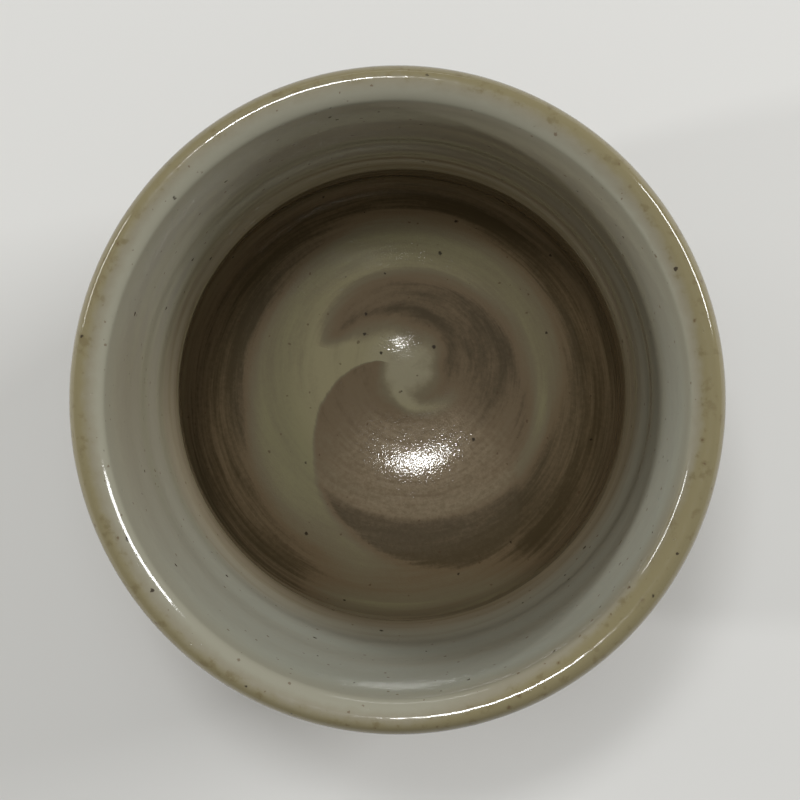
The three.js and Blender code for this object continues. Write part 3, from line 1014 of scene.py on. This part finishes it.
# On the shaded side the wall tone is painted paler, in place of fill light.
wall_slip_and_painted_fill = blended(tree, eased(tree, facing(tree, turn, PAINTED_FILL_SIDE), 0.6, 1), wall_slip_and_painted_fill, PAINTED_FILL_TONE)
full = blended(tree, eased(tree, rise, 60, 71), full, wall_slip_and_painted_fill)
body = blended(tree, eased(tree, slip, *BARE_SPAN), DEEP_BROWN, CLAY_BROWN)
body = blended(tree, eased(tree, slip, *THIN_SPAN), body, THIN_SLIP)
body = blended(tree, eased(tree, slip, *THICK_SPAN), body, full)
middle_way = scaled(tree, eased(tree, way_out, 14, 20), -0.35, eased(tree, way_out, 6, 11))
warm = times(tree, times(tree, comma, scraped), round_eye(tree, sweep, WARMTH, 1))
warm = times(tree, warm, middle_way)
grainy = scaled(tree, hair, 0.7, cloud)
warm_brown = blended(tree, eased(tree, grainy, 0.55, 1.15), WARM_DARK, WARM_LIGHT)
body = blended(tree, warm, body, warm_brown)
print("tones drawn from bare clay to thick slip")

# %% [markdown]
# ### The lip
#
# Towards the inner edge of the lip the glaze grows paler. Over the slope it turns grey-green, and
# towards the outside it thins and the clay shows through in ochre with soft brown mottles. The ochre
# reaches farther in on the right than at the top and bottom, as the cup was tipped when it was dipped.
# On the lower right the pale edge gives way to grey-green.

# %% Colours of the lip
LIP_PALE = seen(139, 137, 122)
LIP_GREEN = seen(130, 125, 108)
LIP_OCHRE = seen(119, 111, 83)
LIP_BROWN = seen(100, 89, 62)
LIP_DULL_SIDE = math.radians(312)
PALE_SPAN = (89, 94.8)
GREEN_SPAN = (94.8, 96.3)
OCHRE_SPAN = (95.9, 97.5)
MOTTLE_SPAN = (96, 97)

blotch = noise(tree, place, 0.6, 3, 0.6)
round_turn = scaled(tree, sums(tree, "COSINE", turn), 0.55, -0.1)
tipped = scaled(tree, sums(tree, "COSINE", times(tree, turn, 2)), 0.55, round_turn)
lip_rise = sums(tree, "ADD", sums(tree, "ADD", rise, tipped), scaled(tree, blotch, 1.2, -0.6))
dull = eased(tree, facing(tree, turn, LIP_DULL_SIDE), 0.75, 1)
lip_rise = scaled(tree, dull, 1.3, lip_rise)
pale_lip = blended(tree, dull, LIP_PALE, LIP_GREEN)
body = blended(tree, eased(tree, rise, *PALE_SPAN), body, pale_lip)
body = blended(tree, eased(tree, lip_rise, *GREEN_SPAN), body, LIP_GREEN)
body = blended(tree, eased(tree, lip_rise, *OCHRE_SPAN), body, LIP_OCHRE)
mottles = use_group(tree, specks, {"Place": place, "Spacing": 1.5, "Size": 0.5, "Share": 0.45})
mottled = sums(tree, "MAXIMUM", eased(tree, blotch, 0.55, 0.7), times(tree, mottles, 0.8))
on_ochre = times(tree, eased(tree, lip_rise, *MOTTLE_SPAN), 0.55)
body = blended(tree, times(tree, mottled, on_ochre), body, LIP_BROWN)
print("lip turns from pale to ochre over", round(OCHRE_SPAN[1] - PALE_SPAN[0], 1), "mm")

# %% [markdown]
# ### Iron specks inside
#
# Grains of iron in the clay bleed through the glaze: some large and nearly black, many small and rusty,
# and more along the inner edge of the lip, where the glaze is thin.

# %% Iron inside
IRON = seen(38, 28, 20)
RUST = seen(84, 62, 42)

more_at_lip = scaled(tree, near(tree, rise, 95, 0.9), 0.4, 0.4)
large = use_group(tree, specks, {"Place": place, "Spacing": 2.8, "Size": 0.36, "Share": 0.42})
small = use_group(tree, specks, {"Place": place, "Spacing": 1.5, "Size": 0.26, "Share": more_at_lip})
body = blended(tree, times(tree, small, 0.6), body, RUST)
body = blended(tree, times(tree, large, 0.88), body, IRON)
print("specks of two sizes laid over the glaze")

# %% [markdown]
# ### Gloss and skin inside
#
# The glaze is glossy and its skin is not flat: soft ripples bend the lines of light, a fine grain breaks
# the bright patches into sparkles, and pinholes catch single points of light.

# %% Gloss and skin inside
glaze.inputs["IOR"].default_value = GLAZE_IOR
gloss = scaled(tree, noise(tree, place, 0.8, 2), 0.08, 0.05)
sandy = scaled(tree, eased(tree, rise, 26, 40), -0.48, 0.57)
skin_height = use_group(tree, skin, {"Place": place, "Ripple": 0.8, "Grain": sandy, "Pits": 0.7})
dress(tree, glaze, body, gloss, scaled(tree, streaked, 0.3, skin_height))

# %% [markdown]
# ## The jacket's finish
#
# Outside there is no slip, so the glaze lies on the clay: olive-grey where it is thick, ochre where it
# thins on the crests of the throwing rings and at the lip, darker where it rolls up above the foot.

# %% Jacket finish
JACKET_THIN = seen(112, 96, 68)
JACKET_THICK = seen(126, 120, 98)
JACKET_ROLL = seen(88, 80, 58)
LIP_HEIGHTS = (76.5, 82.3)
ROLL_HEIGHTS = (14, 8.5)

tree, glaze, place = new_finish("jacket_glaze_over_clay", jacket)
flat = shader_node(tree, "SeparateXYZ", {0: place})
turn = sums(tree, "ARCTAN2", flat.outputs[1], flat.outputs[0])
height = flat.outputs[2]
rings = use_group(tree, streaks, {"Turn": turn, "Travel": height, "Around": 1.2, "Across": 0.5})
fine_rings = use_group(tree, streaks, {"Turn": turn, "Travel": height, "Around": 2.5, "Across": 2.6})
cloud = noise(tree, place, 0.09, 4)
uneven = scaled(tree, cloud, 0.9, times(tree, fine_rings, 0.12))
thickness = scaled(tree, rings, 0.28, uneven)
body = blended(tree, eased(tree, thickness, 0.45, 0.85), JACKET_THIN, JACKET_THICK)
near_lip = eased(tree, sums(tree, "ADD", height, times(tree, cloud, 3)), *LIP_HEIGHTS)
body = blended(tree, near_lip, body, LIP_OCHRE)
roll = eased(tree, height, *ROLL_HEIGHTS)
body = blended(tree, times(tree, roll, 0.6), body, JACKET_ROLL)
large = use_group(tree, specks, {"Place": place, "Spacing": 5, "Size": 0.45, "Share": 0.45})
small = use_group(tree, specks, {"Place": place, "Spacing": 2, "Size": 0.22, "Share": 0.3})
iron = sums(tree, "MAXIMUM", large, small)
body = blended(tree, times(tree, iron, 0.8), body, IRON)
glaze.inputs["IOR"].default_value = GLAZE_IOR
satin = scaled(tree, cloud, 0.2, 0.16)
skin_height = use_group(tree, skin, {"Place": place, "Ripple": 1.2, "Grain": 0.2, "Pits": 0.8})
dress(tree, glaze, body, satin, scaled(tree, fine_rings, 1.5, skin_height))

# %% [markdown]
# ## The bare clay
#
# Fired without glaze, the stoneware is matt and warm brown, toasted darker along the glaze line, with
# sand that stands out where the blade dragged it.

# %% Clay finish
CLAY_DARK = seen(130, 102, 78)
CLAY_LIGHT = seen(150, 124, 98)
CLAY_DRAGGED = seen(110, 84, 64)
CLAY_TOASTED = seen(106, 74, 52)
SAND = seen(190, 166, 134)
TOAST_HEIGHTS = (7.5, 9.5)


def round_pot(tree, place):
    """The turn about the axis, the way out and up along the pot, and the height."""
    x, y, height = shader_node(tree, "SeparateXYZ", {0: place}).outputs
    return sums(tree, "ARCTAN2", y, x), sums(tree, "ADD", length_of(tree, x, y), height), height


tree, stoneware, place = new_finish("bare_stoneware", clay)
turn, travel, height = round_pot(tree, place)
drag = use_group(tree, streaks, {"Turn": turn, "Travel": travel, "Around": 3, "Across": 1.8})
mottle = noise(tree, place, 0.12, 5)
sand = use_group(tree, specks, {"Place": place, "Spacing": 1.3, "Size": 0.3, "Share": 0.5})
iron = use_group(tree, specks, {"Place": place, "Spacing": 3, "Size": 0.3, "Share": 0.4})
body = blended(tree, eased(tree, mottle, 0.3, 0.7), CLAY_DARK, CLAY_LIGHT)
body = blended(tree, times(tree, drag, 0.35), body, CLAY_DRAGGED)
body = blended(tree, eased(tree, height, *TOAST_HEIGHTS), body, CLAY_TOASTED)
body = blended(tree, times(tree, sand, 0.4), body, SAND)
body = blended(tree, times(tree, iron, 0.8), body, IRON)
matt = scaled(tree, mottle, 0.2, 0.68)
dress(tree, stoneware, body, matt, sums(tree, "ADD", times(tree, drag, 2), sand))

# %% [markdown]
# ## The slip
#
# The slip lies sealed between the clay and the liner and keeps its solid from the frame. It still gets
# its own finish, chalky white with the hairs of the brush, so that it is right when it is taken apart.

# %% Slip finish
SLIP_THIN = seen(176, 166, 144)
SLIP_THICK = seen(206, 202, 188)

tree, chalk, place = new_finish("brushed_white_slip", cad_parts["white_slip"])
turn, travel, height = round_pot(tree, place)
hair = use_group(tree, streaks, {"Turn": turn, "Travel": travel, "Around": 2, "Across": 2})
body = blended(tree, eased(tree, hair, 0.3, 0.6), SLIP_THIN, SLIP_THICK)
dress(tree, chalk, body, scaled(tree, hair, 0.2, 0.7), hair)
